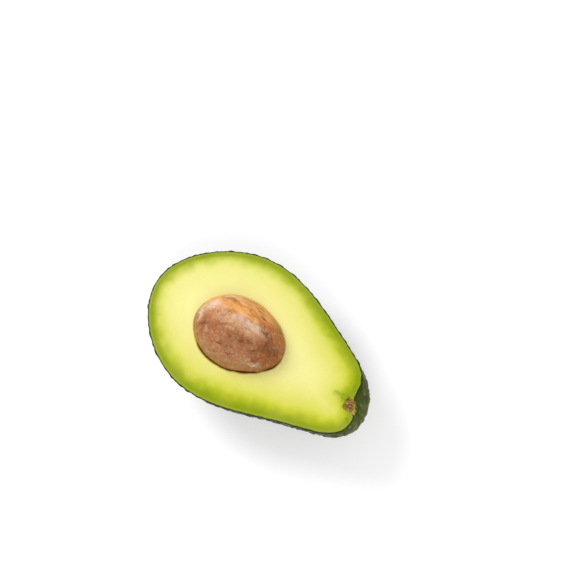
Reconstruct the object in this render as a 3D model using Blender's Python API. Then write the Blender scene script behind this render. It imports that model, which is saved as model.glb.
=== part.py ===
# Half of a ripe avocado, cut lengthwise, with its seed still in the hollow.
#
# Metres, +Z up. The half lies on its rounded back with the cut face level on top, and its stem end
# points along +X. The origin is the middle of the small flat spot that it rests on.

import math

import bmesh
import bpy
import numpy as np

MM = 0.001

# Driving dimensions
FRUIT_LENGTH = 103 * MM       # blossom end to stem end
FRUIT_WIDTH = 65.5 * MM       # across the widest place
CUT_HEIGHT = 30.6 * MM        # the cut face above the resting surface
MIDDLE_AHEAD = 6.6 * MM       # the fruit's middle, ahead of the resting spot
CORE_DIP = math.radians(4.5)  # the core runs this much below the cut towards the stem
LEAN_DOWN = 0.16              # the belly sits nearer the stem on the back than at the cut
LEAN_SIDE = 0.05              # and nearer the stem on the +Y side than on the other
NECK_BEND = 1.8 * MM          # the neck curves this much to -Y at the stem end
SKIN_THICKNESS = 1.0 * MM
GAP = 0.3 * MM                # clearance between two pieces that touch

DIMPLE_DEPTH = 5 * MM         # hollow round the stem
DIMPLE_PLACE = (48 * MM, 5 * MM, 3 * MM)  # from the fruit's middle on the cut face
DIMPLE_SPREAD = (10 * MM, 6.5 * MM, 6 * MM)

SEED_LENGTH = 40 * MM
SEED_WIDTH = 30.6 * MM
SEED_HEIGHT = 30 * MM
SEED_PLACE = (-9.9 * MM, -1.6 * MM, -0.6 * MM)  # from the fruit's middle
SEED_TURN = math.radians(8.0)  # its pointed end leans to +Y of the core

STEM_RADIUS = 2.8 * MM
STEM_ROOT = (40.3 * MM, 0, -0.8 * MM)  # from the fruit's middle
STEM_LENGTH = 5.4 * MM

SEGMENTS = 64                 # round the fruit
RINGS = 18                    # from the cut edge down to the resting spot
STEM_CROWDING = 0.35          # how much closer together the segments are at the stem end
RING_STRETCH = 1.55           # the rings are this much longer than wide
SEED_SEGMENTS = 36
SEED_RINGS = 19
STEM_SEGMENTS = 20


def make_material(name, color, roughness):
    material = bpy.data.materials.new(name)
    material.use_nodes = True
    shader = material.node_tree.nodes["Principled BSDF"]
    shader.inputs["Base Color"].default_value = (*color, 1.0)
    shader.inputs["Roughness"].default_value = roughness
    shader.inputs["Metallic"].default_value = 0.0
    return material


def loft(name, rows, material=None):
    """Closed body through rows of points; a row of one point is a pole."""
    points = np.concatenate(rows)
    starts = np.cumsum([0] + [len(row) for row in rows[:-1]])
    faces = []
    for row, next_row, start, next_start in zip(rows, rows[1:], starts, starts[1:]):
        count = max(len(row), len(next_row))
        for i in range(count):
            j = (i + 1) % count
            corners = [start + i % len(row), start + j % len(row),
                       next_start + j % len(next_row), next_start + i % len(next_row)]
            faces.append(list(dict.fromkeys(int(corner) for corner in corners)))
    mesh = bpy.data.meshes.new(name)
    mesh.from_pydata(points.tolist(), [], faces)
    body = bmesh.new()
    body.from_mesh(mesh)
    bmesh.ops.recalc_face_normals(body, faces=body.faces)
    body.to_mesh(mesh)
    body.free()
    mesh.shade_smooth()
    mesh.set_sharp_from_angle(angle=math.radians(40))
    solid = bpy.data.objects.new(name, mesh)
    bpy.context.collection.objects.link(solid)
    if material:
        mesh.materials.append(material)
    return solid


def slice_level(solid, height, keep_above):
    """Cuts the body level at this height and closes it with a flat face."""
    body = bmesh.new()
    body.from_mesh(solid.data)
    cut = bmesh.ops.bisect_plane(
        body, geom=[*body.verts, *body.edges, *body.faces], dist=0.01 * MM,
        plane_co=(0, 0, height), plane_no=(0, 0, -1 if keep_above else 1), clear_outer=True)
    rim = [item for item in cut["geom_cut"] if isinstance(item, bmesh.types.BMEdge)]
    bmesh.ops.contextual_create(body, geom=rim)
    bmesh.ops.recalc_face_normals(body, faces=body.faces)
    body.to_mesh(solid.data)
    body.free()


def cut_away(solid, cutter):
    modifier = solid.modifiers.new("cut", "BOOLEAN")
    modifier.operation = "DIFFERENCE"
    modifier.solver = "EXACT"
    modifier.object = cutter
    cutter.hide_render = True
    cutter.display_type = "WIRE"


def fruit_radius(along):
    """Radius of the whole fruit, from -1 at the blossom end to 1 at the stem end."""
    along = np.clip(along, -1, 1)
    belly = 0.938 - 0.402 * along - 0.16 * along**2 + 0.38 * along**3 + 0.19 * along**4
    return FRUIT_WIDTH / 2 * np.sqrt(1 - along**2) * belly


def fruit_reach(directions):
    """Distance from the middle of the cut face, above the resting spot, to the fruit's outside."""
    eye = np.array([-MIDDLE_AHEAD, 0, 0])
    near = np.zeros(directions.shape[:-1])
    far = near + FRUIT_LENGTH
    for _ in range(40):
        middle = (near + far) / 2
        x, y, z = np.moveaxis(eye + directions * middle[..., None], -1, 0)
        x = x + LEAN_DOWN * z - LEAN_SIDE * y
        along = x * math.cos(CORE_DIP) - z * math.sin(CORE_DIP)
        above = x * math.sin(CORE_DIP) + z * math.cos(CORE_DIP)
        along = along / (FRUIT_LENGTH / 2)
        aside = y + NECK_BEND * np.maximum(along, 0)**3
        outside = np.hypot(aside, above) > fruit_radius(along)
        far = np.where(outside, middle, far)
        near = np.where(outside, near, middle)
    away = (eye + directions * near[..., None] - DIMPLE_PLACE) / DIMPLE_SPREAD
    return near - DIMPLE_DEPTH * np.exp(-(away**2).sum(-1) / 2)


def fruit_rows(inset, floor):
    """Rings of points, a constant inset under the fruit's outside, from the cut edge downwards.

    Nothing goes lower than the floor, where the fruit is pressed flat on its resting spot.
    """
    turn = np.linspace(0, 2 * math.pi, SEGMENTS, endpoint=False)
    turn = turn - STEM_CROWDING * np.sin(turn)
    dip = np.linspace(0, math.pi / 2, RINGS, endpoint=False)
    dip, turn = np.meshgrid(dip, turn, indexing="ij")
    directions = np.stack(
        [RING_STRETCH * np.cos(dip) * np.cos(turn), np.cos(dip) * np.sin(turn), -np.sin(dip)], -1)
    directions /= np.linalg.norm(directions, axis=-1, keepdims=True)
    points = directions * fruit_reach(directions)[..., None]

    across = np.roll(points, -1, axis=1) - np.roll(points, 1, axis=1)
    down = np.gradient(points, axis=0)
    normals = np.cross(down, across)
    normals /= np.linalg.norm(normals, axis=-1, keepdims=True)
    rim = normals[0] * (1, 1, 0)  # the cut edge moves within the cut face
    normals[0] = rim / (rim**2).sum(-1, keepdims=True)
    points = points - inset * normals

    rows = [row + (0, 0, CUT_HEIGHT) for row in points]
    depth = fruit_reach(np.array([0.0, 0.0, -1.0])) - inset
    rows.append(np.array([[0, 0, CUT_HEIGHT - depth]]))
    return [np.maximum(row, (-np.inf, -np.inf, floor)) for row in rows]


def from_middle(place):
    """A place measured from the fruit's middle on the cut face, in the part's own frame."""
    return np.array(place) + (MIDDLE_AHEAD, 0, CUT_HEIGHT)


def turned_rows(profile, segments, start, turn, dip=0.0, flattening=1.0):
    """Rings round an axis through start, for a profile of (distance along it, radius)."""
    angle = np.linspace(0, 2 * math.pi, segments, endpoint=False)
    ahead = np.array([math.cos(turn) * math.cos(dip), math.sin(turn) * math.cos(dip), -math.sin(dip)])
    side = np.array([-math.sin(turn), math.cos(turn), 0])
    up = np.cross(ahead, side)
    rows = []
    for distance, radius in profile:
        if radius == 0:
            rows.append((start + distance * ahead)[None, :])
            continue
        ring = np.outer(np.cos(angle), side) + np.outer(np.sin(angle) * flattening, up)
        rows.append(start + distance * ahead + radius * ring)
    return rows


def seed_profile(clearance):
    """Blunt at the blossom end and slightly pointed at the stem end."""
    profile = []
    for angle in np.linspace(math.pi, 0, SEED_RINGS):
        along = math.cos(angle)
        girth = math.sin(angle) * (1.01 - 0.09 * along - 0.06 * along**2 + 0.03 * along**3)
        radius = 0 if abs(along) == 1 else (SEED_WIDTH / 2 + clearance) * girth
        profile.append(((SEED_LENGTH / 2 + clearance) * along, radius))
    return profile


def seed_rows(clearance):
    return turned_rows(seed_profile(clearance), SEED_SEGMENTS, from_middle(SEED_PLACE), SEED_TURN,
                       flattening=SEED_HEIGHT / SEED_WIDTH)


def stem_rows(clearance, beyond):
    """A short woody plug, narrower at its root; beyond lengthens its outer end."""
    wide = STEM_RADIUS + clearance
    profile = [(-clearance, 0), (-clearance, 0.55 * wide), (0.18 * STEM_LENGTH, 0.85 * wide),
               (0.5 * STEM_LENGTH, wide), (0.85 * STEM_LENGTH + beyond, wide),
               (STEM_LENGTH + beyond, 0.8 * wide), (STEM_LENGTH + beyond, 0)]
    return turned_rows(profile, STEM_SEGMENTS, from_middle(STEM_ROOT), 0.0, dip=CORE_DIP)


def make_skin(stem_cutter):
    outside = fruit_rows(0, -np.inf)
    inside = fruit_rows(SKIN_THICKNESS, SKIN_THICKNESS)
    skin = loft("skin", outside[::-1] + inside, make_material("skin", (0.035, 0.06, 0.018), 0.42))
    slice_level(skin, 0, keep_above=True)
    cut_away(skin, stem_cutter)


def make_flesh(stem_cutter):
    depth = SKIN_THICKNESS + GAP
    rows = fruit_rows(depth, depth)
    middle_of_cut = np.array([[0, 0, CUT_HEIGHT]])
    flesh = loft("flesh", rows[::-1] + [middle_of_cut], make_material("flesh", (0.80, 0.77, 0.25), 0.45))
    seed_cutter = loft("seed_cutter", seed_rows(1.5 * GAP))
    cut_away(flesh, seed_cutter)
    cut_away(flesh, stem_cutter)


def make_seed():
    loft("seed", seed_rows(0), make_material("seed", (0.50, 0.24, 0.11), 0.55))


def make_stem():
    stem = loft("stem_stub", stem_rows(0, 0), make_material("stem", (0.28, 0.15, 0.05), 0.8))
    slice_level(stem, CUT_HEIGHT, keep_above=False)


for old in list(bpy.data.objects):
    bpy.data.objects.remove(old, do_unlink=True)

stem_pocket = loft("stem_cutter", stem_rows(GAP, 6 * MM))
make_skin(stem_pocket)
make_flesh(stem_pocket)
make_seed()
make_stem()
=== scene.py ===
import itertools
import math

import bpy
import numpy as np
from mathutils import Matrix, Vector


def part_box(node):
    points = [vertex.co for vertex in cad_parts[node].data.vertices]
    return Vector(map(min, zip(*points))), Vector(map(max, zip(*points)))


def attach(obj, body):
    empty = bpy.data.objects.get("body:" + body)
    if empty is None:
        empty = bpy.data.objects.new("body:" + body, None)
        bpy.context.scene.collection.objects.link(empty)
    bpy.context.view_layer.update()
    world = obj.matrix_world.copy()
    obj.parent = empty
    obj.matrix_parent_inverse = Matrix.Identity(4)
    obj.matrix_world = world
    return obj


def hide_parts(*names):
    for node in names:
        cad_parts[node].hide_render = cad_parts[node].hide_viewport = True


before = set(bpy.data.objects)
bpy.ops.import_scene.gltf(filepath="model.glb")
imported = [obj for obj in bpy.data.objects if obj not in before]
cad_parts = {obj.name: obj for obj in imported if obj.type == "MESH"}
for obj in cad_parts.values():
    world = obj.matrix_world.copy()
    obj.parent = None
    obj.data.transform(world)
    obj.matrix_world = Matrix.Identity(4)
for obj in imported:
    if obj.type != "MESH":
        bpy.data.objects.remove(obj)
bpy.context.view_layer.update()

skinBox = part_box("skin")
mm = 0.001
black, white = (0, 0, 0, 1), (1, 1, 1, 1)

fruit = {
    "length": 103 * mm,         # blossom end to stem end
    "width": 65.5 * mm,
    "middleAhead": 6.6 * mm,    # the fruit's middle, ahead of the resting spot
    "coreDip": math.radians(4.5),
    "leanDown": 0.16,
    "leanSide": 0.05,
    "neckBend": 1.8 * mm,
    "belly": (0.938, -0.402, -0.16, 0.38, 0.19),  # makes a sphere a pear, by powers along the core
    "dimpleDepth": 5 * mm,
    "dimplePlace": (48 * mm, 5 * mm, 3 * mm),
    "dimpleSpread": (10 * mm, 6.5 * mm, 6 * mm),
    "dimpleUneven": 0.0,
    "puckerDepth": 3.0 * mm,    # the cut edge draws in round the stem
    "puckerPlace": (46 * mm, 0.5 * mm, 0.5 * mm),
    "puckerSpread": (6 * mm, 8 * mm, 2.8 * mm),
    "puckerUneven": 0.16,
    "unevenSize": 2.6 * mm,
    "cutHeight": skinBox[1][2],
    "rindThickness": 1.0 * mm,
    "columns": 560,             # round the fruit
    "stemCrowding": 0.35,       # columns stand closer together at the stem
    "stretch": 1.55,            # the rays from the middle fan out along the fruit
}


def tint(code):
    # a display colour such as "c8a060" as the linear red, green, blue, alpha that shaders take
    shown = np.array([int(code[i:i + 2], 16) for i in (0, 2, 4)]) / 255
    linear = np.where(shown <= 0.04045, shown / 12.92, ((shown + 0.055) / 1.055) ** 2.4)
    return (*linear.tolist(), 1.0)


def smooth(value, low, high):
    # 0 below low, 1 above high, and 3t^2 - 2t^3 between them
    t = np.clip((value - low) / (high - low), 0, 1)
    return t * t * (3 - 2 * t)


def softNoise(points, seed, octaves=1):
    # random numbers on a unit lattice, blended by a smooth step; each octave halves size and strength
    size = 32
    table = np.random.default_rng(seed).random((size, size, size)) * 2 - 1
    total, strength = np.zeros(points.shape[:-1]), 1.0
    for octave in range(octaves):
        place = points * 2 ** octave + 7.3 * octave
        cell = np.floor(place).astype(int)
        part = place - cell
        part = part * part * (3 - 2 * part)
        for corner in itertools.product((0, 1), repeat=3):
            weight = np.prod(np.where(corner, part, 1 - part), axis=-1)
            at = np.moveaxis((cell + corner) % size, -1, 0)
            total += strength * weight * table[at[0], at[1], at[2]]
        strength /= 2
    return total


def cellDistances(points, seed, jitter=0.8):
    # distances to the nearest and second nearest of one random point in each unit cell
    size = 48
    table = np.random.default_rng(seed).random((size, size, size, 3)) * jitter
    cell = np.floor(points).astype(int)
    first, second = np.full(points.shape[:-1], 9.0), np.full(points.shape[:-1], 9.0)
    for step in itertools.product((-1, 0, 1), repeat=3):
        corner = cell + step
        at = np.moveaxis(corner % size, -1, 0)
        away = np.linalg.norm(points - corner - table[at[0], at[1], at[2]], axis=-1)
        second = np.minimum(second, np.maximum(first, away))
        first = np.minimum(first, away)
    return first, second


def reachOut(inside, start, directions, farthest):
    # halves the step forty times along each ray to find where it leaves the solid
    near = np.zeros(directions.shape[:-1])
    far = near + farthest
    for _ in range(40):
        middle = (near + far) / 2
        within = inside(start + directions * middle[..., None])
        near, far = np.where(within, middle, near), np.where(within, far, middle)
    return near


def insideFruit(points):
    # a turned pear: the radius is a half circle's times a polynomial; leaned, dipped and bent
    x, y, z = np.moveaxis(points, -1, 0)
    x = x + fruit["leanDown"] * z - fruit["leanSide"] * y
    dip = fruit["coreDip"]
    along = (x * math.cos(dip) - z * math.sin(dip)) / (fruit["length"] / 2)
    above = x * math.sin(dip) + z * math.cos(dip)
    aside = y + fruit["neckBend"] * np.maximum(along, 0) ** 3
    along = np.clip(along, -1, 1)
    belly = sum(factor * along**power for power, factor in enumerate(fruit["belly"]))
    return np.hypot(aside, above) < fruit["width"] / 2 * np.sqrt(1 - along**2) * belly


def fruitSurface(turn, dip):
    # rays from above the resting spot to the pear, less two Gaussian dimples at the stem;
    # gives points from the fruit's middle on the cut face, and outward normals
    stretch = fruit["stretch"]
    rays = np.stack([stretch * np.cos(dip) * np.cos(turn), np.cos(dip) * np.sin(turn), -np.sin(dip)], -1)
    rays /= np.linalg.norm(rays, axis=-1, keepdims=True)
    eye = np.array([-fruit["middleAhead"], 0, 0])
    reach = reachOut(insideFruit, eye, rays, fruit["length"])
    outside = eye + rays * reach[..., None]
    for hollow in ("dimple", "pucker"):
        away = (outside - fruit[hollow + "Place"]) / fruit[hollow + "Spread"]
        uneven = fruit[hollow + "Uneven"] * softNoise(outside / fruit["unevenSize"], 31, 2)
        reach -= fruit[hollow + "Depth"] * np.exp(-(away**2).sum(-1) / 2) * (1 + uneven)
    points = eye + rays * reach[..., None]
    across = np.roll(points, -1, axis=1) - np.roll(points, 1, axis=1)
    normals = np.cross(np.gradient(points, axis=0), across)
    normals /= np.linalg.norm(normals, axis=-1, keepdims=True)
    return points, normals


def levelled(normals):
    # normals laid into the cut face, longer where the side slopes, to keep the same thickness
    flat = normals * (1, 1, 0)
    return flat / (flat**2).sum(-1, keepdims=True)


def fruitTurns():
    # angles round the fruit, t - c sin t, so that they crowd at the stem end
    turn = np.linspace(0, 2 * math.pi, fruit["columns"], endpoint=False)
    return turn - fruit["stemCrowding"] * np.sin(turn)


def toPart(points):
    # from the fruit's middle on the cut face to the part's own frame
    return points + (fruit["middleAhead"], 0, fruit["cutHeight"])


def closedPiece(name, rows, firstPole, lastPole, masks, body="root"):
    # a grid of points closed round its columns, with one point closing each end; the sign of the
    # volume, a sum of triple products, tells whether its faces look outwards
    count, columns = rows.shape[:2]
    points = np.concatenate([rows.reshape(-1, 3), firstPole[None], lastPole[None]])
    index = np.arange(count * columns).reshape(count, columns)
    beside = np.roll(index, -1, axis=1)
    quads = np.stack([index[:-1], beside[:-1], beside[1:], index[1:]], -1).reshape(-1, 4)
    first = np.stack([index[0], np.full(columns, count * columns), beside[0]], -1)
    last = np.stack([index[-1], beside[-1], np.full(columns, count * columns + 1)], -1)
    faceSets = [quads, first, last]
    a, b, c = (points[np.concatenate([quads[:, :3], quads[:, [0, 2, 3]]])[:, i]] for i in range(3))
    if np.einsum("ij,ij->", a, np.cross(b, c)) < 0:  # turned inside out
        faceSets = [faces[:, ::-1] for faces in faceSets]
    corners = np.concatenate([faces.ravel() for faces in faceSets])
    sizes = np.concatenate([np.full(len(faces), faces.shape[1]) for faces in faceSets])

    mesh = bpy.data.meshes.new(name)
    mesh.vertices.add(len(points))
    mesh.vertices.foreach_set("co", points.ravel())
    mesh.loops.add(len(corners))
    mesh.loops.foreach_set("vertex_index", corners)
    mesh.polygons.add(len(sizes))
    mesh.polygons.foreach_set("loop_start", np.cumsum(sizes) - sizes)
    mesh.update(calc_edges=True)
    mesh.shade_smooth()
    for mask, values in masks.items():
        layer = mesh.attributes.new(mask, "FLOAT", "POINT")
        ends = np.array([values[0].mean(), values[-1].mean()])
        layer.data.foreach_set("value", np.concatenate([values.ravel(), ends]))
    piece = bpy.data.objects.new(name, mesh)
    bpy.context.collection.objects.link(piece)
    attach(piece, body)
    print(name, len(points), "points")
    return piece


def turnedBack(places, angle):
    # the two coordinates of each place along and across a line at this angle
    c, s = math.cos(angle), math.sin(angle)
    return places[..., 0] * c + places[..., 1] * s, places[..., 1] * c - places[..., 0] * s


# Node helpers

def addNode(tree, kind, settings=None, **inputs):
    # a node with its settings; inputs go by socket name, or by i and the socket's number, and each
    # is a value or another node's socket
    node = tree.nodes.new(kind)
    for name, value in (settings or {}).items():
        setattr(node, name, value)
    for name, value in inputs.items():
        numbered = name[0] == "i" and name[1:].isdigit()
        socket = node.inputs[int(name[1:]) if numbered else name]
        if isinstance(value, bpy.types.NodeSocket):
            tree.links.new(value, socket)
        else:
            socket.default_value = value
    return node


def maths(tree, operation, a, b=0.0):
    # one sum, product or other operation on two values or sockets
    return addNode(tree, "ShaderNodeMath", {"operation": operation}, i0=a, i1=b).outputs[0]


def blendColors(tree, mask, first, second, mode="MIX"):
    # the first colour where the mask is 0 and the second where it is 1
    node = addNode(tree, "ShaderNodeMix", {"data_type": "RGBA", "blend_type": mode},
                   i0=mask, i6=first, i7=second)
    return node.outputs[2]


def colorRamp(tree, value, stops):
    # the colours of the stops, (place, colour), with straight blends between them
    node = addNode(tree, "ShaderNodeValToRGB", i0=value)
    ramp = node.color_ramp
    while len(ramp.elements) < len(stops):
        ramp.elements.new(0.5)
    for element, (place, color) in zip(ramp.elements, stops):
        element.position = place
        element.color = color
    return node.outputs[0]


def remap(tree, value, low, high, newLow=0.0, newHigh=1.0, soft=False):
    # low to high becomes newLow to newHigh, held at both ends; soft eases in and out
    kind = "SMOOTHSTEP" if soft else "LINEAR"
    node = addNode(tree, "ShaderNodeMapRange", {"interpolation_type": kind},
                   Value=value, i1=low, i2=high, i3=newLow, i4=newHigh)
    return node.outputs[0]


def cloudy(tree, place, scale, detail, **more):
    # layered noise between 0 and 1
    return addNode(tree, "ShaderNodeTexNoise", Vector=place, Scale=scale, Detail=detail, **more).outputs[0]


def placed(tree, centre=(0, 0, 0), turn=(0, 0, 0)):
    # Object coordinates from a centre, turned
    coordinates = addNode(tree, "ShaderNodeTexCoord").outputs["Object"]
    moved = addNode(tree, "ShaderNodeVectorMath", {"operation": "SUBTRACT"}, i0=coordinates, i1=centre)
    mapping = addNode(tree, "ShaderNodeMapping", Vector=moved.outputs[0], Rotation=turn)
    return mapping.outputs[0]


def attribute(tree, name):
    # a mask that the mesh carries at its points
    return addNode(tree, "ShaderNodeAttribute", {"attribute_name": name}).outputs["Fac"]


def useGroup(tree, group, **inputs):
    # a node of the group, its inputs given by name as values or as other nodes' sockets
    node = tree.nodes.new("ShaderNodeGroup")
    node.node_tree = group
    for name, value in inputs.items():
        socket = node.inputs[name]
        if isinstance(value, bpy.types.NodeSocket):
            tree.links.new(value, socket)
        else:
            socket.default_value = value
    return node


def newGroup(name, inputs, outputs):
    # an empty group with named inputs (name, kind, value) and outputs (name, kind)
    group = bpy.data.node_groups.new(name, "ShaderNodeTree")
    for label, kind, value in inputs:
        socket = group.interface.new_socket(label, in_out="INPUT", socket_type=kind)
        if value is not None:
            socket.default_value = value
    for label, kind in outputs:
        group.interface.new_socket(label, in_out="OUTPUT", socket_type=kind)
    start, end = group.nodes.new("NodeGroupInput"), group.nodes.new("NodeGroupOutput")
    return group, start.outputs, end.inputs


def makeMottle():
    # cloudy patches: layered noise cut to a soft mask between two levels
    group, given, out = newGroup(
        "mottle",
        [("Vector", "NodeSocketVector", None), ("Scale", "NodeSocketFloat", 100.0),
         ("Detail", "NodeSocketFloat", 4.0), ("Low", "NodeSocketFloat", 0.4),
         ("High", "NodeSocketFloat", 0.6)],
        [("Mask", "NodeSocketFloat")])
    noise = addNode(group, "ShaderNodeTexNoise", Vector=given["Vector"], Scale=given["Scale"],
                    Detail=given["Detail"], Roughness=0.6)
    cut = remap(group, noise.outputs["Fac"], given["Low"], given["High"], soft=True)
    group.links.new(cut, out["Mask"])
    return group


def makeSpecks():
    # small round dots, one in each cell, kept in only some of the cells
    group, given, out = newGroup(
        "specks",
        [("Vector", "NodeSocketVector", None), ("Scale", "NodeSocketFloat", 500.0),
         ("Size", "NodeSocketFloat", 0.25), ("Amount", "NodeSocketFloat", 0.5)],
        [("Mask", "NodeSocketFloat")])
    cells = addNode(group, "ShaderNodeTexVoronoi", {"feature": "F1"},
                    Vector=given["Vector"], Scale=given["Scale"])
    dot = remap(group, cells.outputs["Distance"], given["Size"], 0.0, soft=True)
    chance = addNode(group, "ShaderNodeSeparateColor", Color=cells.outputs["Color"])
    kept = maths(group, "LESS_THAN", chance.outputs[0], given["Amount"])
    group.links.new(maths(group, "MULTIPLY", dot, kept), out["Mask"])
    return group


def makeStreaks():
    # long fine lines along X: noise squeezed across it, bent a little by a broader noise
    group, given, out = newGroup(
        "streaks",
        [("Vector", "NodeSocketVector", None), ("Scale", "NodeSocketFloat", 300.0),
         ("Stretch", "NodeSocketFloat", 6.0), ("Low", "NodeSocketFloat", 0.45),
         ("High", "NodeSocketFloat", 0.65)],
        [("Mask", "NodeSocketFloat")])
    bend = addNode(group, "ShaderNodeTexNoise", Vector=given["Vector"], Scale=90.0, Detail=2.0)
    bent = addNode(group, "ShaderNodeVectorMath", {"operation": "MULTIPLY_ADD"},
                   i0=bend.outputs["Color"], i1=(0.004, 0.004, 0.004), i2=given["Vector"])
    parts = addNode(group, "ShaderNodeSeparateXYZ", i0=bent.outputs[0])
    squeezed = addNode(group, "ShaderNodeCombineXYZ",
                       i0=maths(group, "DIVIDE", parts.outputs[0], given["Stretch"]),
                       i1=parts.outputs[1], i2=parts.outputs[2])
    noise = addNode(group, "ShaderNodeTexNoise", Vector=squeezed.outputs[0], Scale=given["Scale"],
                    Detail=3.0, Roughness=0.55)
    cut = remap(group, noise.outputs["Fac"], given["Low"], given["High"], soft=True)
    group.links.new(cut, out["Mask"])
    return group


mottle, specks, streaks = makeMottle(), makeSpecks(), makeStreaks()


def layer(group, code, strength, **pattern):
    # one colour to lay over a surface in the group's pattern, this strongly
    return {"group": group, "color": tint(code), "strength": strength, "pattern": pattern}


def layerMask(tree, chosen, place):
    # the layer's pattern alone, 0 to 1
    return useGroup(tree, chosen["group"], Vector=place, **chosen["pattern"]).outputs[0]


def overlay(tree, color, chosen, place, fade=1.0):
    # the layer's colour over another, as far as pattern times fade times strength says
    mask = maths(tree, "MULTIPLY", layerMask(tree, chosen, place), fade)
    return blendColors(tree, maths(tree, "MULTIPLY", mask, chosen["strength"]), color, chosen["color"])


def newFinish(name, **sockets):
    # a material with its Principled shader, constants set on the shader's own sockets
    material = bpy.data.materials.new(name)
    material.use_nodes = True
    shader = material.node_tree.nodes["Principled BSDF"]
    for socket, value in sockets.items():
        shader.inputs[socket.replace("_", " ")].default_value = value
    return material, material.node_tree, shader


def bumpInto(tree, shader, height, distance, strength):
    # small relief in the shader's normal, the height's 0 to 1 standing this far apart
    node = addNode(tree, "ShaderNodeBump", Height=height, Distance=distance, Strength=strength)
    tree.links.new(node.outputs[0], shader.inputs["Normal"])


# Skin

skin = {
    "pebbleLength": 3.9 * mm,        # along the fruit
    "pebbleWidth": 3.1 * mm,
    "pebbleHeight": 0.75 * mm,
    "pebbleUneven": (0.25, 11 * mm), # how much rougher some areas are, and their size
    "domeRadius": 0.78,              # in pebbles
    "grooveWidth": 0.45,             # in pebbles
    "wander": (0.35, 4 * mm),        # how far the pebbles stray, in pebbles, and over what distance
    "wartSize": 1.5 * mm,
    "wartDepth": 0.16,               # in pebble heights
    "stemPlace": (49 * mm, 0, -2 * mm),
    "stemReach": (5 * mm, 22 * mm),  # skin of the stem end up to the first, none beyond the second
    "stemSmoother": 0.4,             # the pebbles are this much lower at the stem
    "ridgeCount": 11,                # folds that run into the stem
    "ridgeHeight": 0.8 * mm,
    "deepest": 0.82 * mm,            # no groove goes deeper, so the rind stays whole
    "rimRelief": 0.72,               # the relief left at the cut edge
    "rimCalm": 0.05,                 # it is whole again this far down, as a part of the rows
    "rimSag": (0.22 * mm, 0.06 * mm),       # how much the cut sags at its outer and inner edge
    "rimDrop": (0.26 * mm, 0.12 * mm),      # how far below the cut the outer and inner sides start
    "rimRough": 0.05 * mm,
    "outerRows": 120,
    "innerRows": 22,
    "dark": tint("1f2609"),
    "green": layer(mottle, "33450f", 1.0, Scale=45.0, Low=0.38, High=0.66),
    "plum": layer(mottle, "33281c", 0.6, Scale=28.0, Detail=6.0, Low=0.5, High=0.7),
    "stemGreen": tint("586412"),
    "stemLip": tint("66722c"),
    # pale grey patches near the stem: painted highlights standing for the gloss on its folds
    "stemPaintedHighlight": layer(mottle, "a3a592", 0.4, Scale=330.0, Detail=3.0, Low=0.58, High=0.66),
    "lenticels": layer(specks, "8c9460", 0.6, Scale=480.0, Size=0.34, Amount=0.4),
    "grooveShade": 0.45,
    "rimLayers": [(0.0, tint("2f3a0d")), (0.55, tint("2f3a0d")), (0.7, tint("778f22")),
                  (0.88, tint("aebb40"))],  # across the cut rind, from outside
    "rimRagged": 0.45,
    "roughness": (0.2, 0.4),
}

notch = {
    "depth": 2.2 * mm,
    "halfWidth": 2.2 * mm,
    "side": 0.0,
    "from": 40.4 * mm,
    "rise": 1.2 * mm,
}


def stemNotch(x, y):
    # a trough for the stem, open outwards: exp(-y^6) across, a smooth step along
    across = np.exp(-((y - notch["side"]) / notch["halfWidth"]) ** 6)
    return notch["depth"] * across * smooth(x, notch["from"], notch["from"] + notch["rise"])


def pebbleField(points):
    # domes 1 - r^2 on random centres, times grooves between them, less smaller warts; 1 on top
    scale = (skin["pebbleLength"], skin["pebbleWidth"], skin["pebbleWidth"])
    stray, distance = skin["wander"]
    wander = stray * np.stack([softNoise(points / distance, seed, 2) for seed in (11, 12, 13)], -1)
    first, second = cellDistances(points / scale + wander + 20, 5, 0.95)
    dome = np.clip(1 - (first / skin["domeRadius"]) ** 2, 0, 1)
    groove = smooth(second - first, 0.0, skin["grooveWidth"])
    wart, _ = cellDistances(points / skin["wartSize"] + 2 * wander + 11, 6, 0.9)
    height = (0.7 * dome + 0.3) * (0.35 + 0.65 * groove)
    return np.clip(height - skin["wartDepth"] * np.clip(wart, 0, 1) + 0.06, 0, 1)


def stemNearness(points):
    # 1 in the dimple round the stem, and 0 far from it, with a smooth step between
    away = np.linalg.norm(points - np.array(skin["stemPlace"]), axis=-1)
    return 1 - smooth(away, *skin["stemReach"])


def skinRelief(points):
    # how far the outside lies under its envelope: grooves between pebbles, and folds that are a
    # cosine of the angle round the stem; a hyperbolic tangent holds it above the deepest
    near = stemNearness(points)
    height = pebbleField(points)
    uneven, distance = skin["pebbleUneven"]
    size = skin["pebbleHeight"] * (1 + uneven * softNoise(points / distance, 21))
    size = size * (1 - skin["stemSmoother"] * near)
    angle = np.arctan2(points[..., 2] + 1 * mm, points[..., 1])
    wobble = 0.8 * softNoise(points / (7 * mm), 23, 2)
    fold = 0.5 - 0.5 * np.cos(skin["ridgeCount"] * angle + 2 * wobble)
    lump = 0.5 + 0.5 * softNoise(points / (4 * mm), 29, 2)
    folds = skin["ridgeHeight"] * near * (0.65 * fold + 0.35 * lump)
    relief = skin["deepest"] * np.tanh(((1 - height) * size + folds) / skin["deepest"])
    # the second value is the pebbles' height, lowered in the folds' valleys near the stem; the rind's
    # finish darkens low places with it as painted shade
    return relief, height * (1 - 0.6 * near * (1 - lump) * (0.4 + 0.6 * fold))


def skinShell(rows, firstDip):
    # rows of the fruit's surface from the cut edge, evenly turned down to the resting spot
    turn = fruitTurns()
    part = np.linspace(0, 1, rows, endpoint=False)[:, None]
    dip = firstDip + (math.pi / 2 - firstDip) * part
    points, normals = fruitSurface(np.broadcast_to(turn, dip.shape), dip)
    normals[0] = levelled(normals[0])
    return points, normals


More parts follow.
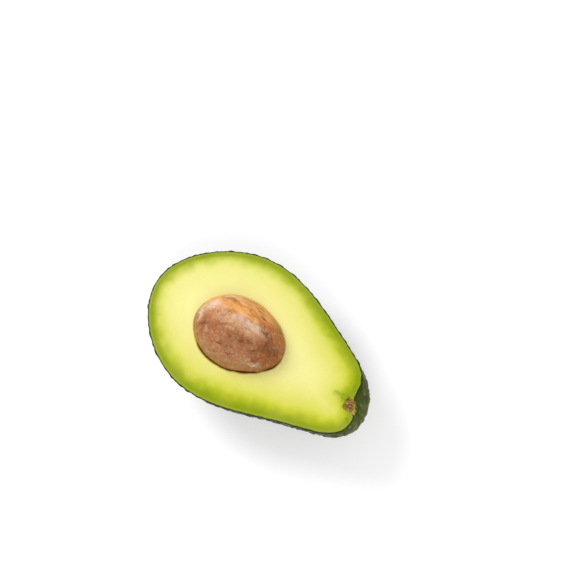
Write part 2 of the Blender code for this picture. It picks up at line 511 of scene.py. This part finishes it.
def makeSkin():
    # the outside less its relief, the outside less the rind's thickness, and the cut edge between
    turn = fruitTurns()
    rim, _ = fruitSurface(np.stack([turn, turn]), np.zeros((2, len(turn))) + [[0], [0.01]])
    drop = stemNotch(rim[0, :, 0], rim[0, :, 1])
    away = np.linalg.norm(rim[0] + (fruit["middleAhead"], 0, 0), axis=-1)
    firstDip = np.arctan2(drop, away)
    thick = fruit["rindThickness"]

    outer, outerNormals = skinShell(skin["outerRows"], firstDip)
    relief, height = skinRelief(outer)
    down = np.linspace(0, 1, len(relief))[:, None]
    relief *= skin["rimRelief"] + (1 - skin["rimRelief"]) * smooth(down, 0, skin["rimCalm"])
    outer = outer - outerNormals * relief[..., None]
    inner, innerNormals = skinShell(skin["innerRows"], firstDip)
    inner = inner - innerNormals * thick

    across = np.array([0.04, *np.linspace(0.1, 0.9, 9), 0.97])[:, None, None]
    edge = outer[:1] + (inner[:1] - outer[:1]) * across
    across = across[..., 0]
    outerSag, innerSag = skin["rimSag"]
    sag = outerSag * (1 - smooth(across, 0, 0.22)) + innerSag * smooth(across, 0.9, 1)
    uneven = skin["rimRough"] * softNoise(edge / (0.7 * mm), 41)
    edge[..., 2] -= sag + np.abs(uneven)
    outer[0, :, 2] -= skin["rimDrop"][0]
    inner[0, :, 2] -= skin["rimDrop"][1]
    near = stemNearness(outer)

    outer, edge, inner = toPart(outer), toPart(edge), toPart(inner)
    outer[..., 2] = np.maximum(outer[..., 2], 0)
    inner[..., 2] = np.maximum(inner[..., 2], thick)
    outerZero, edgeZero, innerZero = (np.zeros(part.shape[:2]) for part in (outer, edge, inner))
    masks = {
        "rindDepth": np.concatenate([outerZero, edgeZero + across, innerZero + 1]),
        "pebble": np.concatenate([height[::-1], edgeZero + height[:1], innerZero]),
        "stemNear": np.concatenate([near[::-1], edgeZero, innerZero]),
    }
    rows = np.concatenate([outer[::-1], edge, inner])
    piece = closedPiece("skinPebbled", rows, np.array([0, 0, 0.0]), np.array([0, 0, thick]), masks)
    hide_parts("skin")
    piece.data.materials.append(skinFinish())


def skinFinish():
    # dark rind, greener at the stem, with painted shade in its grooves and in the folds at the stem, pale
    # dots on the pebbles' tops and pale grey painted highlights near the stem; on the cut edge dark
    # outside and pale inside, with a ragged border
    material, tree, shader = newFinish("rind", Roughness=0.4, Specular_IOR_Level=0.1)
    place = placed(tree)
    pebble, near, depth = (attribute(tree, name) for name in ("pebble", "stemNear", "rindDepth"))
    color = overlay(tree, skin["dark"], skin["green"], place)
    color = overlay(tree, color, skin["plum"], place)
    color = blendColors(tree, near, color, skin["stemGreen"])
    lip = colorRamp(tree, near, [(0.86, black), (1.0, white)])
    color = blendColors(tree, maths(tree, "MULTIPLY", lip, 0.5), color, skin["stemLip"])
    # painted highlights: pale grey patches near the stem
    color = overlay(tree, color, skin["stemPaintedHighlight"], place, near)
    # painted shade: colour darkened in the grooves between pebbles and in the fold valleys at the stem
    groove = remap(tree, pebble, 0.0, 0.7, skin["grooveShade"], 1.0)
    color = blendColors(tree, 1.0, color, groove, "MULTIPLY")
    color = overlay(tree, color, skin["lenticels"], place, remap(tree, pebble, 0.5, 0.95))
    ragged = maths(tree, "SUBTRACT", cloudy(tree, place, 900.0, 2.0), 0.5)
    ragged = maths(tree, "MULTIPLY", ragged, skin["rimRagged"])
    cut = colorRamp(tree, maths(tree, "ADD", depth, ragged), skin["rimLayers"])
    color = blendColors(tree, remap(tree, depth, 0.02, 0.12), color, cut)
    tree.links.new(color, shader.inputs["Base Color"])
    rough = remap(tree, cloudy(tree, place, 160.0, 3.0), 0.3, 0.7, *skin["roughness"])
    tree.links.new(rough, shader.inputs["Roughness"])
    bumpInto(tree, shader, cloudy(tree, place, 2600.0, 3.0), 0.05 * mm, 0.7)
    return material


# Seed

seed = {
    "length": 39.4 * mm,
    "width": 29.4 * mm,
    "height": 30 * mm,
    "place": (-10.1 * mm, -1.2 * mm, -0.6 * mm),  # from the fruit's middle
    "turn": math.radians(6),
    "lumps": (0.22 * mm, 9 * mm),       # height and size
    "wrinkles": (0.12 * mm, 4.5 * mm, 1.1 * mm),  # height, length and width
    "pits": (0.16 * mm, 2.4 * mm),      # depth and size
    "under": 0.1 * mm,                  # the coat's mean level under the egg's surface
    "rows": 230,
    "columns": 320,
    "across": [  # coat colours from the -Y side to the +Y side
        (0.0, tint("b07c50")), (0.2, tint("b9845a")), (0.32, tint("aa7048")), (0.43, tint("a86c40")),
        (0.51, tint("c8966a")), (0.62, tint("e4b48a")), (0.69, tint("f8a654")), (0.8, tint("ffba66")),
        (1.0, tint("f0aa62"))],
    "acrossReach": 16 * mm,
    "wander": 12 * mm,                  # how far noise shifts those colours
    "tip": tint("964e1e"),              # towards the stem
    "tipFrom": (6 * mm, 14 * mm),
    "patches": layer(mottle, "844820", 0.65, Scale=330.0, Detail=5.0, Low=0.5, High=0.68),
    "haze": layer(mottle, "eac2a0", 0.4, Scale=420.0, Detail=5.0, Low=0.52, High=0.7),
    "lines": layer(streaks, "b86a2c", 0.6, Scale=520.0, Stretch=6.0, Low=0.48, High=0.66),
    "grit": layer(mottle, "9a5c34", 0.24, Scale=1000.0, Detail=3.0, Low=0.42, High=0.62),
    "dust": layer(mottle, "efcfae", 0.16, Scale=760.0, Detail=3.0, Low=0.52, High=0.68),
    "veins": layer(streaks, "6e3a1a", 0.5, Scale=1000.0, Stretch=7.0, Low=0.6, High=0.72),
    "freckles": layer(specks, "7a4424", 0.7, Scale=900.0, Size=0.3, Amount=0.16),
    # pale pinkish colour: partly a painted highlight near the seed's middle, partly pale patches on the
    # coat
    "paleAndHighlight": tint("f2d6bc"),
    "rust": tint("c8702c"),
    "rustStrength": 0.75,
    "dusk": tint("74380f"),
    "roughness": (0.4, 0.58),
}

# Marks on the coat: centre along and across, half length, half width, turn in degrees, in millimetres
seedMarks = {
    # pale marks: those near the middle of the seed are a painted highlight, the others pale patches on the
    # coat
    "paleAndHighlight": [(3.4, 3.2, 5.2, 1.9, -10), (-1.2, 4.6, 2.6, 1.5, 0), (-14.5, 5.2, 3.4, 2.6, 35),
              (-9.5, 11.2, 4.2, 0.9, 12), (11.0, -9.6, 2.6, 0.6, 15),
              (-17.2, -0.5, 1.0, 2.6, 0)],
    "rust": [(-10.4, 3.0, 1.5, 1.1, 40), (-12.8, 1.0, 1.2, 2.0, 0), (-7.6, -5.6, 1.5, 0.9, 10),
             (8.6, 6.6, 6.0, 1.0, -18), (-4.0, 9.4, 4.5, 0.9, 0), (2.4, 8.1, 3.6, 0.6, -6),
             (4.0, 11.8, 4.5, 0.5, -8), (15.5, 3.4, 3.2, 0.7, -30)],
    "dusk": [(-1.8, -4.4, 1.5, 1.2, 10), (3.2, -3.5, 1.8, 1.2, -20), (5.6, -2.0, 1.4, 0.9, -10),
             (12.2, 0.2, 1.7, 2.0, 10), (15.0, -1.4, 1.6, 2.4, 0), (9.3, 4.2, 3.8, 0.45, -32),
             (7.2, 8.8, 2.6, 0.4, -20), (13.6, 2.9, 2.6, 0.35, -34), (-8.0, 9.8, 3.0, 0.4, 10),
             (-4.6, -9.0, 2.4, 0.42, 4), (-8.4, -3.4, 0.5, 0.4, 0), (1.4, -9.8, 3.0, 0.3, 10),
             (8.2, -5.4, 2.2, 0.7, 20), (-14.2, -4.2, 1.6, 0.5, 50)],
}


def markMask(local, marks):
    # Gaussian ovals, the strongest at each point, their places shaken by a soft noise
    shake = np.stack([softNoise(local / (2.2 * mm), 57, 3), softNoise(local / (2.2 * mm), 58, 3)], -1)
    shaken = local[..., :2] / mm + 1.1 * shake
    mask = np.zeros(local.shape[:-1])
    for x, y, halfLength, halfWidth, turn in marks:
        u, v = turnedBack(shaken - (x, y), math.radians(turn))
        mask = np.maximum(mask, np.exp(-((u / halfLength) ** 2 + (v / halfWidth) ** 2)))
    return mask * (local[..., 2] > 0)


def seedRadius(along, clearance=0.0):
    # a half circle's radius times a cubic that makes the stem end slimmer
    girth = 1.01 - 0.09 * along - 0.06 * along**2 + 0.03 * along**3
    return (seed["width"] / 2 + clearance) * np.sqrt(np.clip(1 - along**2, 0, 1)) * girth


def seedAxes():
    # rows: ahead, side and up
    c, s = math.cos(seed["turn"]), math.sin(seed["turn"])
    return np.array([[c, s, 0], [-s, c, 0], [0, 0, 1]])


def makeSeed():
    # an egg turned about its long axis, flattened a little, with soft lumps and long wrinkles
    angle = np.linspace(math.pi, 0, seed["rows"] + 2)[1:-1, None]
    around = np.linspace(0, 2 * math.pi, seed["columns"], endpoint=False)[None, :]
    along = np.cos(angle) + 0 * around
    radius = seedRadius(along)
    flat = seed["height"] / seed["width"]
    half = seed["length"] / 2
    local = np.stack([half * along, radius * np.cos(around), radius * np.sin(around) * flat], -1)
    outward = local / np.array([seed["length"], seed["width"], seed["height"]]) ** 2
    outward /= np.linalg.norm(outward, axis=-1, keepdims=True)
    height, size = seed["lumps"]
    lumps = height * softNoise(local / size + 5, 51, 2)
    height, length, width = seed["wrinkles"]
    wrinkles = height * softNoise(local / np.array([length, width, width]) + 9, 52, 2)
    depth, size = seed["pits"]
    pits = -depth * smooth(softNoise(local / size + 3, 53, 2), 0.35, 0.9)
    local = local + outward * (lumps + wrinkles + pits - seed["under"])[..., None]
    masks = {name: markMask(local, marks) for name, marks in seedMarks.items()}
    centre = toPart(np.array(seed["place"]))
    rows = centre + local @ seedAxes()
    tips = centre + np.array([[-1, 0, 0], [1, 0, 0]]) * (half - seed["under"]) @ seedAxes()
    piece = closedPiece("seedWhole", rows, tips[0], tips[1], masks)
    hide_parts("seed")
    piece.data.materials.append(seedFinish(centre))


def seedFinish(centre):
    # a ramp of coat colours across the seed, darker towards the stem, then patches, streaks and
    # the marks, the pale ones partly a painted highlight, all in the seed's own turned frame
    material, tree, shader = newFinish("seedCoat", Roughness=0.5, Specular_IOR_Level=0.25)
    place = placed(tree, tuple(centre), (0, 0, -seed["turn"]))
    paleAndHighlight, rust, dusk = (attribute(tree, name) for name in seedMarks)
    parts = addNode(tree, "ShaderNodeSeparateXYZ", i0=place)
    cloud = cloudy(tree, place, 150.0, 5.0, Roughness=0.6)
    wander = maths(tree, "MULTIPLY", maths(tree, "SUBTRACT", cloud, 0.5), seed["wander"])
    across = maths(tree, "ADD", parts.outputs[1], wander)
    spread = remap(tree, across, -seed["acrossReach"], seed["acrossReach"])
    color = colorRamp(tree, spread, seed["across"])
    tip = remap(tree, maths(tree, "ADD", parts.outputs[0], wander), *seed["tipFrom"], soft=True)
    color = blendColors(tree, maths(tree, "MULTIPLY", tip, 0.7), color, seed["tip"])
    shady = remap(tree, across, 0.002, 0.008, 1.0, 0.35)  # the +Y side is cleaner
    color = overlay(tree, color, seed["patches"], place, shady)
    color = overlay(tree, color, seed["haze"], place)
    color = overlay(tree, color, seed["lines"], place)
    # pale marks broken up by noise: partly a painted highlight, partly pale patches on the coat
    paleAndHighlightBreakup = remap(tree, cloud, 0.32, 0.62, 0.45, 0.85)
    color = blendColors(tree, maths(tree, "MULTIPLY", paleAndHighlight, paleAndHighlightBreakup), color, seed["paleAndHighlight"])
    color = blendColors(tree, maths(tree, "MULTIPLY", rust, seed["rustStrength"]), color, seed["rust"])
    broken = remap(tree, cloud, 0.35, 0.6, 0.65, 1.0)
    color = blendColors(tree, maths(tree, "MULTIPLY", dusk, broken), color, seed["dusk"])
    color = overlay(tree, color, seed["grit"], place, shady)
    for name in ("dust", "veins", "freckles"):
        color = overlay(tree, color, seed[name], place)
    tree.links.new(color, shader.inputs["Base Color"])
    tree.links.new(remap(tree, cloud, 0.3, 0.7, *seed["roughness"]), shader.inputs["Roughness"])
    veins = layerMask(tree, seed["veins"], place)
    height = maths(tree, "SUBTRACT", cloudy(tree, place, 1500.0, 4.0), veins)
    bumpInto(tree, shader, height, 0.08 * mm, 0.6)
    return material


# Flesh

flesh = {
    "wallRows": 18,
    "topRows": 84,
    "hollowRows": 26,
    "rindGap": 0.02 * mm,
    "hollowClearance": -0.15 * mm,  # the flesh clasps the seed
    "grooveWider": 0.55 * mm,       # a shallow groove beside the seed opens towards -Y
    "grooveDepth": 1.2 * mm,
    "waves": (0.10 * mm, 8 * mm),   # height and size
    "grain": (0.02 * mm, 0.9 * mm),
    "knife": (0.03 * mm, 14 * mm, 0.9 * mm),  # height, length and width of the knife's tracks
    "calmEdge": 1.5 * mm,           # the cut is level nearer to an edge than this
    "edgeSag": (0.10 * mm, 0.35 * mm),        # depth and width of the rounded outer edge
    "mouthSag": (0.35 * mm, 0.8 * mm),        # and of the hollow's edge
    "stainPlace": (42.7 * mm, 0.0),
    "stainRadius": 3.7 * mm,
    "depthColors": [  # from the rind inwards
        (0.0, tint("a8b634")), (0.022, tint("94a610")), (0.05, tint("8ea304")), (0.09, tint("99ac08")),
        (0.13, tint("a8b80e")), (0.18, tint("b8c41a")), (0.24, tint("c9d02e")), (0.3, tint("d7da46")),
        (0.38, tint("e2e35f")), (0.48, tint("e9e76f")), (0.6, tint("f0ec82")), (0.78, tint("f7f292")),
        (1.0, tint("fbf6a0"))],
    "depthReach": 16.0,             # millimetres from the rind to the last of those colours
    "wander": (5.0, 2.0),           # millimetres that broad and fine noise shift them
    # painted light: a paler yellow towards the lit side of the cut face
    "paintedLight": tint("fffcb4"),
    "paintedLightTowards": (-0.8, 0.6, 0),
    "green": layer(mottle, "8ea00c", 0.4, Scale=170.0, Detail=1.0, Low=0.38, High=0.74),
    "warm": layer(mottle, "f2e27c", 0.12, Scale=60.0, Detail=2.0, Low=0.35, High=0.7),
    "spots": layer(specks, "d8b070", 0.2, Scale=260.0, Size=0.12, Amount=0.1),
    "stain": tint("b9b53a"),
    "strand": tint("7c9610"),
    "tanned": tint("c8a840"),       # the hollow's edge
    "roughness": (0.42, 0.6),
}

strands = [  # green smudges and a dark spot near the stem: from, through, to, half width, in millimetres
    ((35.4, 0.9), (37.6, 1.8), (40.6, 2.1), 1.15),
    ((37.4, 2.6), (38.9, 2.4), (40.4, 2.4), 0.4),
    ((38.2, 0.4), (39.4, 0.9), (40.8, 1.0), 1.2),
    ((40.2, 7.4), (41.0, 6.8), (41.8, 5.8), 0.45),
    ((44.6, -5.2), (45.2, -5.6), (46.0, -6.4), 0.55),
]


def insideHollow(points):
    # the seed's egg made larger by a clearance that grows towards -Y, near the cut face only
    local = (points - seed["place"]) @ seedAxes().T
    side = smooth(0.3 * local[..., 0] - local[..., 1], 2 * mm, 12 * mm)
    side = side * (1 + 0.45 * softNoise(local / (2.5 * mm), 65, 2))
    shallow = smooth(local[..., 2] - seed["place"][2], -flesh["grooveDepth"], 0.2 * mm)
    clearance = flesh["hollowClearance"] + flesh["grooveWider"] * side * shallow
    along = local[..., 0] / (seed["length"] / 2 + clearance)
    across = np.hypot(local[..., 1], local[..., 2] * seed["width"] / seed["height"])
    return (across < seedRadius(along, clearance)) & (np.abs(along) < 1)


def distanceTo(points, line):
    # each point's distance to the nearest of the line's points, in the cut face
    nearest = [np.sqrt(((row[:, None, :2] - line[None, :, :2]) ** 2).sum(-1)).min(1) for row in points]
    return np.stack(nearest)


def strandMask(points):
    # a Gaussian of the distance to each quadratic curve, made uneven by noise
    mask = np.zeros(points.shape[:2])
    part = np.linspace(0, 1, 24)[:, None]
    for first, through, last, width in strands:
        curve = (1 - part) ** 2 * first + 2 * part * (1 - part) * np.array(through) + part**2 * last
        mask = np.maximum(mask, np.exp(-(distanceTo(points, curve * mm) / (width * mm)) ** 2))
    return mask * (0.75 + 0.35 * softNoise(points / (0.8 * mm), 66, 2))


def makeFlesh():
    # a wall inside the rind, the cut face from its rim to the hollow's mouth, and the hollow
    turn = fruitTurns()
    dip = np.linspace(0, math.pi / 2, flesh["wallRows"], endpoint=False)[:, None]
    wall, normals = fruitSurface(np.broadcast_to(turn, (len(dip), len(turn))), dip + 0 * turn)
    normals[0] = levelled(normals[0])
    inset = fruit["rindThickness"] + flesh["rindGap"]
    wall = wall - normals * inset
    rim = wall[0]

    centre = np.array(seed["place"])
    heading = np.arctan2(rim[:, 1] - centre[1], rim[:, 0] - centre[0])
    rays = np.stack([np.cos(heading), np.sin(heading), 0 * heading], -1)
    start = centre * (1, 1, 0)
    farthest = seed["length"]
    mouth = start + rays * reachOut(insideHollow, start, rays, farthest)[:, None]
    mouth += rays * (0.06 * mm * softNoise(mouth / (1.6 * mm), 64, 2))[:, None]

    part = np.linspace(0, 1, flesh["topRows"])[:, None]
    part = part - 0.05 * np.sin(2 * math.pi * part)  # rows closer together at both edges
    top = rim + (mouth - rim) * part[..., None]
    edgeDistance = distanceTo(top, rim)
    mouthDistance = np.linalg.norm(top - mouth, axis=-1)
    height, size = flesh["waves"]
    relief = height * softNoise(top / size, 61, 2)
    height, size = flesh["grain"]
    relief += height * softNoise(top / size, 62, 2)
    height, length, width = flesh["knife"]
    relief += height * softNoise(top / np.array([length, width, 10 * width]), 63)
    calm = smooth(edgeDistance, 0, flesh["calmEdge"]) * smooth(mouthDistance, 0, flesh["calmEdge"])
    top[..., 2] += (relief - 0.06 * mm) * calm
    sag, width = flesh["edgeSag"]
    top[..., 2] -= sag * (1 - smooth(edgeDistance, 0, width))
    sag, width = flesh["mouthSag"]
    top[..., 2] -= sag * (1 - smooth(mouthDistance, 0, width)) ** 1.5
    top[..., 2] -= stemNotch(top[..., 0], top[..., 1])
    wall[0, :, 2] = top[0, :, 2] - 0.1 * mm
    wall[1:, :, 2] = np.minimum(wall[1:, :, 2], top[0, :, 2] - 0.2 * mm)

    tilt = np.arctan2(centre[2], np.linalg.norm((mouth - start)[:, :2], axis=-1)) + 0.03
    part = np.linspace(0, 1, flesh["hollowRows"], endpoint=False)[:, None]
    down = tilt + (math.pi / 2 - tilt) * part
    rays = [np.cos(heading) * np.cos(down), np.sin(heading) * np.cos(down), -np.sin(down)]
    rays = np.stack(rays, -1)
    hollow = centre + rays * reachOut(insideHollow, centre, rays, farthest)[..., None]
    hollow[..., 2] = np.minimum(hollow[..., 2], top[-1, :, 2] - 0.1 * mm)

    rows = toPart(np.concatenate([wall[::-1], top, hollow]))
    rows[..., 2] = np.maximum(rows[..., 2], inset)
    pit = toPart(centre - (0, 0, seed["height"] / 2 + flesh["hollowClearance"]))
    hidden, sunk = np.zeros(wall.shape[:2]), np.ones(hollow.shape[:2])
    away = (top[..., :2] - flesh["stainPlace"]) / flesh["stainRadius"]
    stain = np.exp(-(away**2).sum(-1) ** 2)
    masks = {
        "edge": np.concatenate([hidden, edgeDistance / mm, sunk * 15]),
        "mouth": np.concatenate([hidden + 20, mouthDistance / mm, sunk * 0]),
        "strand": np.concatenate([hidden, strandMask(top), sunk * 0]),
        "stemStain": np.concatenate([hidden, stain, sunk * 0]),
    }
    piece = closedPiece("fleshBody", rows, np.array([0, 0, inset]), pit, masks)
    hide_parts("flesh")
    piece.data.materials.append(fleshFinish())


def fleshFinish():
    # green at the rind to yellow inside, by the distance from the rim plus noise; painted light makes
    # it paler on the side the light comes from, mottled green near the rind, tanned at the hollow's edge
    material, tree, shader = newFinish("ripeFlesh", Roughness=0.5, Specular_IOR_Level=0.12,
                                       Subsurface_Weight=0.1, Subsurface_Radius=(0.003, 0.0025, 0.0008))
    place = placed(tree, tuple(toPart(np.zeros(3))))
    names = ("edge", "mouth", "strand", "stemStain")
    edge, mouth, strand, stain = (attribute(tree, name) for name in names)
    parts = addNode(tree, "ShaderNodeSeparateXYZ", i0=place)
    broad = maths(tree, "SUBTRACT", cloudy(tree, place, 75.0, 3.0), 0.5)
    fine = maths(tree, "SUBTRACT", cloudy(tree, place, 260.0, 3.0), 0.5)
    broad = maths(tree, "MULTIPLY", broad, flesh["wander"][0])
    wander = maths(tree, "ADD", broad, maths(tree, "MULTIPLY", fine, flesh["wander"][1]))
    upper = remap(tree, parts.outputs[1], -0.025, 0.02, 0.68, 0.95)    # the band is wider towards -Y
    blossom = remap(tree, parts.outputs[0], -0.018, -0.045, 1.0, 1.3, soft=True)  # and narrower at -X
    depth = maths(tree, "MULTIPLY", edge, maths(tree, "MULTIPLY", upper, blossom))
    loose = remap(tree, edge, 0.8, 4.0)
    depth = maths(tree, "ADD", depth, maths(tree, "MULTIPLY", wander, loose))
    color = colorRamp(tree, maths(tree, "DIVIDE", depth, flesh["depthReach"]), flesh["depthColors"])
    # painted light: paler towards the side the light comes from, less so near the rind
    towards = addNode(tree, "ShaderNodeVectorMath", {"operation": "DOT_PRODUCT"},
                      i0=place, i1=flesh["paintedLightTowards"])
    paintedLight = remap(tree, towards.outputs["Value"], -0.02, 0.045, 0.0, 0.55)
    inner = remap(tree, depth, 1.5, 7.0, 0.05, 1.0)
    color = blendColors(tree, maths(tree, "MULTIPLY", paintedLight, inner), color, flesh["paintedLight"])
    band = colorRamp(tree, maths(tree, "DIVIDE", edge, 8.0), [
        (0.04, black), (0.12, white), (0.35, white), (0.8, black)])
    color = overlay(tree, color, flesh["green"], place, band)
    color = overlay(tree, color, flesh["warm"], place)
    color = blendColors(tree, maths(tree, "MULTIPLY", stain, 0.45), color, flesh["stain"])
    color = blendColors(tree, maths(tree, "MULTIPLY", strand, 0.8), color, flesh["strand"])
    tanned = remap(tree, mouth, 0.7, 0.0, soft=True)
    blush = remap(tree, parts.outputs[1], 0.006, -0.012, 0.25, 0.9)
    color = blendColors(tree, maths(tree, "MULTIPLY", tanned, blush), color, flesh["tanned"])
    color = overlay(tree, color, flesh["spots"], place)
    tree.links.new(color, shader.inputs["Base Color"])
    rough = remap(tree, cloudy(tree, place, 240.0, 4.0), 0.3, 0.7, *flesh["roughness"])
    tree.links.new(rough, shader.inputs["Roughness"])
    bumpInto(tree, shader, cloudy(tree, place, 1300.0, 4.0), 0.06 * mm, 0.4)
    return material


# Stem stub

stem = {
    "root": (40.3 * mm, 0.0, -0.8 * mm),   # from the fruit's middle
    "length": 5.4 * mm,
    "lengthShown": 0.93,                   # the part of it that is left
    "slant": 0.6,                          # the outer end follows the rim: less to +Y, more to -Y
    "radius": 2.95 * mm,
    "rows": 60,
    "columns": 120,
    "heart": (42.4 * mm, 0.6 * mm),        # middle of the brown core on the cut, from the fruit's middle
    "heartLength": 5.0 * mm,
    "heartWidth": 2.4 * mm,
    "heartTurn": math.radians(-40),
    "fibre": (tint("8c6222"), tint("c09650")),
    "fibres": {"Scale": 1500.0, "Stretch": 3.0, "Low": 0.42, "High": 0.62},
    "dark": layer(mottle, "5c3010", 0.85, Scale=700.0, Detail=3.0, Low=0.5, High=0.64),
    "light": layer(specks, "dab678", 0.8, Scale=900.0, Size=0.42, Amount=0.22),
    "rind": (tint("7a8822"), tint("a8b238")),
}


def makeStem():
    # a plug turned about the core, cut off level on top, with fibres along it and a ragged end
    # that slants as the rim does
    part = np.linspace(0.02, 1, stem["rows"])[:, None]
    angle = np.linspace(0, 2 * math.pi, stem["columns"], endpoint=False)[None, :]
    girth = np.sqrt(np.clip(1 - (1 - part / 0.35).clip(0) ** 2, 0, 1)) * (1 - 0.06 * smooth(part, 0.8, 1))
    across = np.stack([0 * angle, np.cos(angle), np.sin(angle)], -1)
    fibre = softNoise(across * 5 + np.stack([part * 1.6, 0 * part, 0 * part], -1), 71, 2)
    radius = stem["radius"] * girth * (0.95 + 0.05 * fibre)
    ragged = 0.5 * mm * softNoise(across[..., [1, 2, 1]] * 3 + 4, 72, 2) * smooth(part, 0.7, 1)
    slant = stem["slant"] * radius * np.cos(angle) * smooth(part, 0.4, 1)
    x = stem["length"] * part * stem["lengthShown"] + ragged - slant
    local = np.stack([x, radius * np.cos(angle), radius * np.sin(angle)], -1)
    dip = fruit["coreDip"]
    axes = np.array([[math.cos(dip), 0, -math.sin(dip)], [0, 1, 0], [math.sin(dip), 0, math.cos(dip)]])
    rows = np.array(stem["root"]) + local @ axes
    torn = 0.12 * mm * softNoise(rows / (np.array([1.6, 0.35, 9]) * mm), 73, 2)
    rows[..., 2] = np.minimum(rows[..., 2], torn - 0.1 * mm)
    blur = 0.5 * mm * softNoise(rows / (0.8 * mm), 74, 2)[..., None]
    u, v = turnedBack(rows[..., :2] - stem["heart"] + blur, stem["heartTurn"])
    heart = np.exp(-(((u / stem["heartLength"]) ** 2 + (v / stem["heartWidth"]) ** 2) ** 2))
    heart = np.where(rows[..., 2] > -0.6 * mm, heart, 1.0)
    rows = toPart(rows)
    ends = rows[0].mean(0), rows[-1].mean(0) - (0.2 * mm, 0, 0)
    piece = closedPiece("stemCut", rows, ends[0], ends[1], {"heart": heart})
    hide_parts("stem_stub")
    piece.data.materials.append(stemFinish())


def stemFinish():
    # brown fibres with dark and light flecks in the core, green round it
    material, tree, shader = newFinish("stemWood", Roughness=0.7, Specular_IOR_Level=0.3)
    place = placed(tree, tuple(toPart(np.array(stem["root"]))))
    lines = useGroup(tree, streaks, Vector=place, **stem["fibres"]).outputs[0]
    color = blendColors(tree, lines, *stem["fibre"])
    color = overlay(tree, color, stem["dark"], place)
    color = overlay(tree, color, stem["light"], place)
    color = blendColors(tree, attribute(tree, "heart"), blendColors(tree, lines, *stem["rind"]), color)
    tree.links.new(color, shader.inputs["Base Color"])
    bumpInto(tree, shader, lines, 0.1 * mm, 0.8)
    return material


# Floor, light and camera

studio = {
    "azimuth": math.radians(34.2),
    "elevation": math.radians(78),
    "lens": 100.0,
    "distance": 0.64,
    "aimRight": 8.96 * mm,     # the half lies left of and below the middle of the view
    "aimUp": 25.15 * mm,
    "floorHalf": 4.0,
    "floorGrey": 0.9,
    "floorGlow": 0.28,
    "sky": 0.55,
    "lightsAt": (0.0, 0.0, 0.03),
    "lights": [  # name, place, diameter, watts
        ("key", (-0.62, 0.10, 0.62), 0.4, 3.3),
        ("fill", (0.45, -0.5, 0.85), 0.8, 2.9),
    ],
}


def makeStudio():
    # a wide pale floor, an even white sky and two round lights
    floor = bpy.data.meshes.new("floor")
    half, grey = studio["floorHalf"], studio["floorGrey"]
    corners = [(-half, -half, 0), (half, -half, 0), (half, half, 0), (-half, half, 0)]
    floor.from_pydata(corners, [], [(0, 1, 2, 3)])
    piece = bpy.data.objects.new("floor", floor)
    bpy.context.collection.objects.link(piece)
    material, _, shader = newFinish("paleFloor", Roughness=0.9, Specular_IOR_Level=0.1)
    shader.inputs["Base Color"].default_value = (grey, grey, grey, 1)
    shader.inputs["Emission Color"].default_value = white
    shader.inputs["Emission Strength"].default_value = studio["floorGlow"]
    floor.materials.append(material)

    world = bpy.data.worlds.new("studio")
    world.use_nodes = True
    sky = world.node_tree.nodes["Background"]
    sky.inputs["Color"].default_value = white
    sky.inputs["Strength"].default_value = studio["sky"]
    bpy.context.scene.world = world

    for name, place, size, power in studio["lights"]:
        light = bpy.data.lights.new(name, "AREA")
        light.shape = "DISK"
        light.size = size
        light.energy = power
        lamp = bpy.data.objects.new(name, light)
        bpy.context.collection.objects.link(lamp)
        lamp.location = place
        aim(lamp, studio["lightsAt"])
    print("floor and lights made")


def aim(thing, target):
    # turns a light or camera, which look along their own -Z, to the target
    direction = Vector(target) - thing.location
    thing.rotation_euler = direction.to_track_quat("-Z", "Y").to_euler()


def makeCamera():
    # a camera on a sphere round its target, which is the cut face's middle shifted across the view
    camera = bpy.data.cameras.new("camera")
    camera.lens = studio["lens"]
    camera.sensor_width = 36
    camera.clip_start = 0.01
    thing = bpy.data.objects.new("camera", camera)
    bpy.context.collection.objects.link(thing)
    a, e = studio["azimuth"], studio["elevation"]
    back = np.array([math.sin(a) * math.cos(e), -math.cos(a) * math.cos(e), math.sin(e)])
    right = np.array([math.cos(a), math.sin(a), 0])
    up = np.cross(back, right)
    target = toPart(np.zeros(3)) + right * studio["aimRight"] + up * studio["aimUp"]
    thing.location = (target + back * studio["distance"]).tolist()
    aim(thing, target.tolist())
    bpy.context.scene.camera = thing
    print("camera made")


bpy.context.scene.view_settings.view_transform = "Standard"
makeStudio()
makeCamera()
makeSkin()
makeSeed()
makeFlesh()
makeStem()
